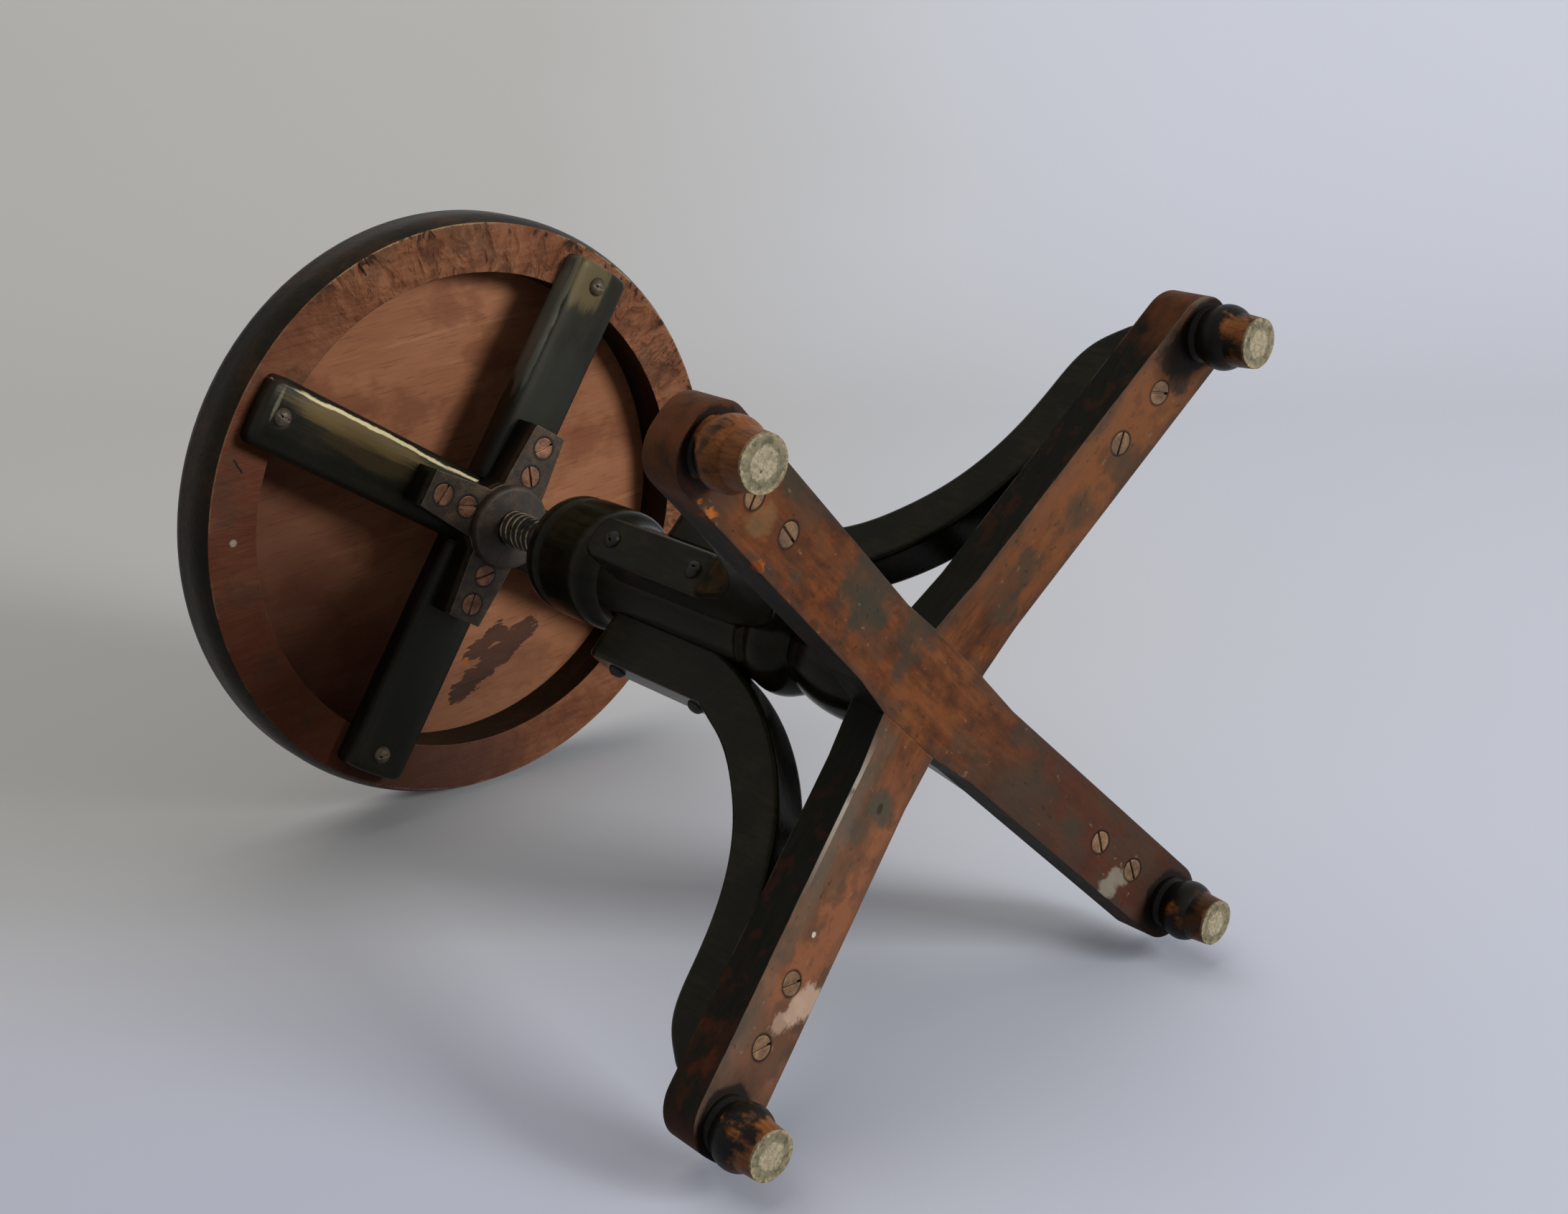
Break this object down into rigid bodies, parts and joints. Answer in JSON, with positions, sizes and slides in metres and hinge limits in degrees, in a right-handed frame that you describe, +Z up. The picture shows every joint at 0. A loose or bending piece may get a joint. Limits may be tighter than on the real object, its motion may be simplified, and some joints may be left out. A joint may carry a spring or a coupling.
{
  "type": "revolving piano stool",
  "caption": "Round wooden stool seat on an iron screw in a turned column, with bent legs on a cross-shaped base on turned feet; the seat rises as it turns.",
  "frame": {"origin": "on the floor, on the column's axis, under the crossing of the base bars", "axes": "+Z up along the column and the iron screw, +X along the base's long bar, +Y along its cross bar"},
  "size_m": [0.452, 0.452, 0.4703],
  "materials": {
    "bar_wood": "worn stain",
    "foot_wood": "worn stain, bare at the tips",
    "leg_wood": "black stain, polished",
    "column_wood": "black stain, polished",
    "cross_wood": "black stain, satin",
    "block_wood": "black stain",
    "ring_wood": "brown stain under, black stain on the rim",
    "panel_wood": "bare under, stained on top",
    "screw_steel": "dulled, coppery",
    "plate_iron": "bare, worn at the edges",
    "spindle_steel": "oiled",
    "nut_iron": "oiled"
  },
  "bodies": {
    "base": {"base_bar_cross": "bar_wood", "base_bar_long": "bar_wood", "base_screws": "screw_steel", "column": "column_wood", "foot_1": "foot_wood", "foot_2": "foot_wood", "foot_3": "foot_wood", "foot_4": "foot_wood", "leg_1": "leg_wood", "leg_2": "leg_wood", "leg_3": "leg_wood", "leg_4": "leg_wood", "leg_screws": "screw_steel", "nut_screws": "screw_steel", "spindle_nut": "nut_iron"},
    "riser": {"hub_collar": "plate_iron"},
    "seat": {"spindle": "spindle_steel", "flange_plate": "plate_iron", "plate_block": "block_wood", "flange_screws": "screw_steel", "seat_cross_long": "cross_wood", "seat_cross_short": "cross_wood", "cross_screws": "screw_steel", "seat_ring": "ring_wood", "seat_panel": "panel_wood"}
  },
  "joints": [
    {"name": "seat_rise", "type": "slide", "parent": "base", "child": "riser", "axis": [0, 0, 1], "range_m": [-0.0501, 0.0501]},
    {"name": "seat_turn", "type": "hinge", "parent": "riser", "child": "seat", "pos_m": [0, 0, 0.402], "axis": [0, 0, 1], "range_deg": [-3600, 3600]}
  ],
  "couplings": [
    {"joint": "seat_rise", "follows": "seat_turn", "m_per_rad": 0.00079577}
  ]
}
